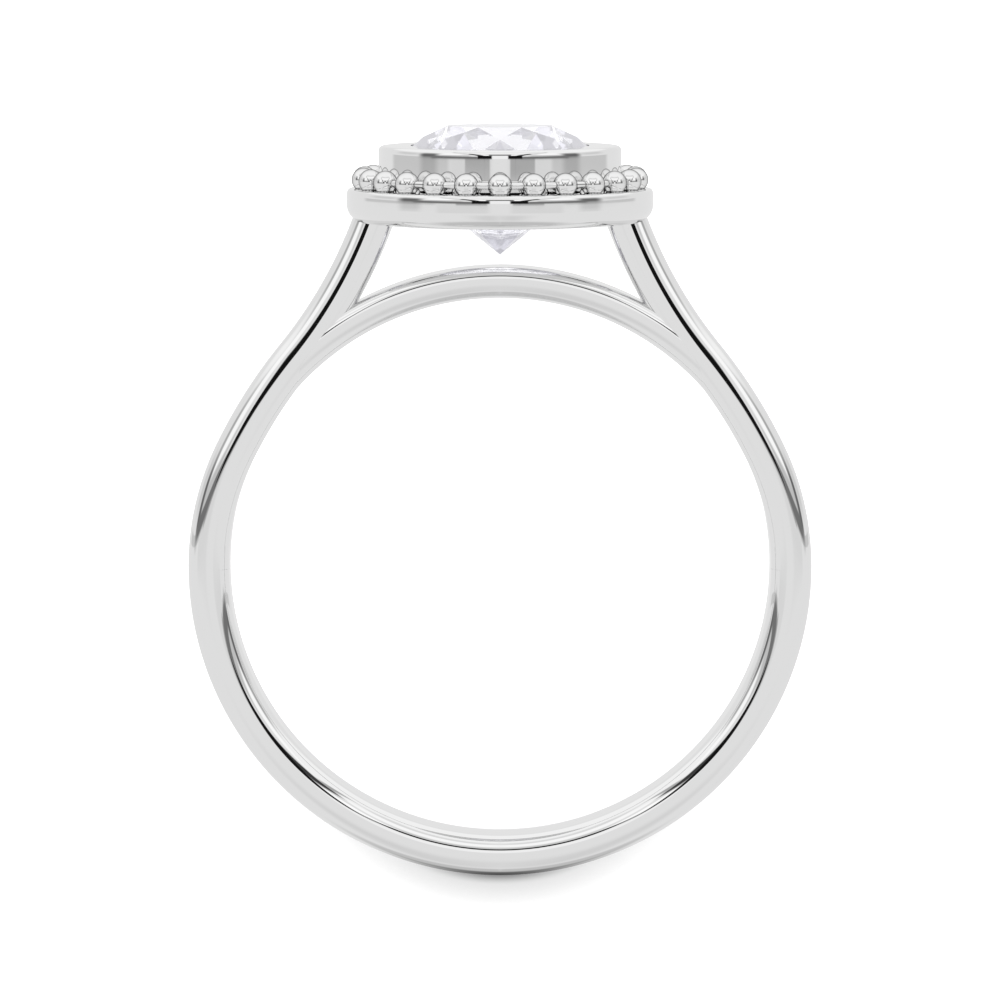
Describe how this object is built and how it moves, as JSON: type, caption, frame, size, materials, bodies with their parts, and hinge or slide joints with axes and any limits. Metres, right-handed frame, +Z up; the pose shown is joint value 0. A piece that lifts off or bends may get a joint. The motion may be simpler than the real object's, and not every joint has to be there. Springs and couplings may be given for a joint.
{
  "type": "bezel set engagement ring",
  "caption": "Finger ring lying on its side: round band with cathedral shoulders, round plate, beaded wire and a plain bezel cup round a brilliant cut stone.",
  "frame": {"origin": "centre of the bottom of the box round the ring as it lies on its side", "axes": "+Z up from the surface that it lies on, +Y along the ring from the base of the band towards the stone, X across the ring"},
  "size_m": [0.02, 0.024, 0.0096],
  "materials": {
    "white_gold": "mirror polished and plated white gold",
    "cut_stone": "cut and polished, colourless"
  },
  "bodies": {
    "root": {"ring_mount": "white_gold", "stone": "cut_stone"}
  },
  "joints": []
}
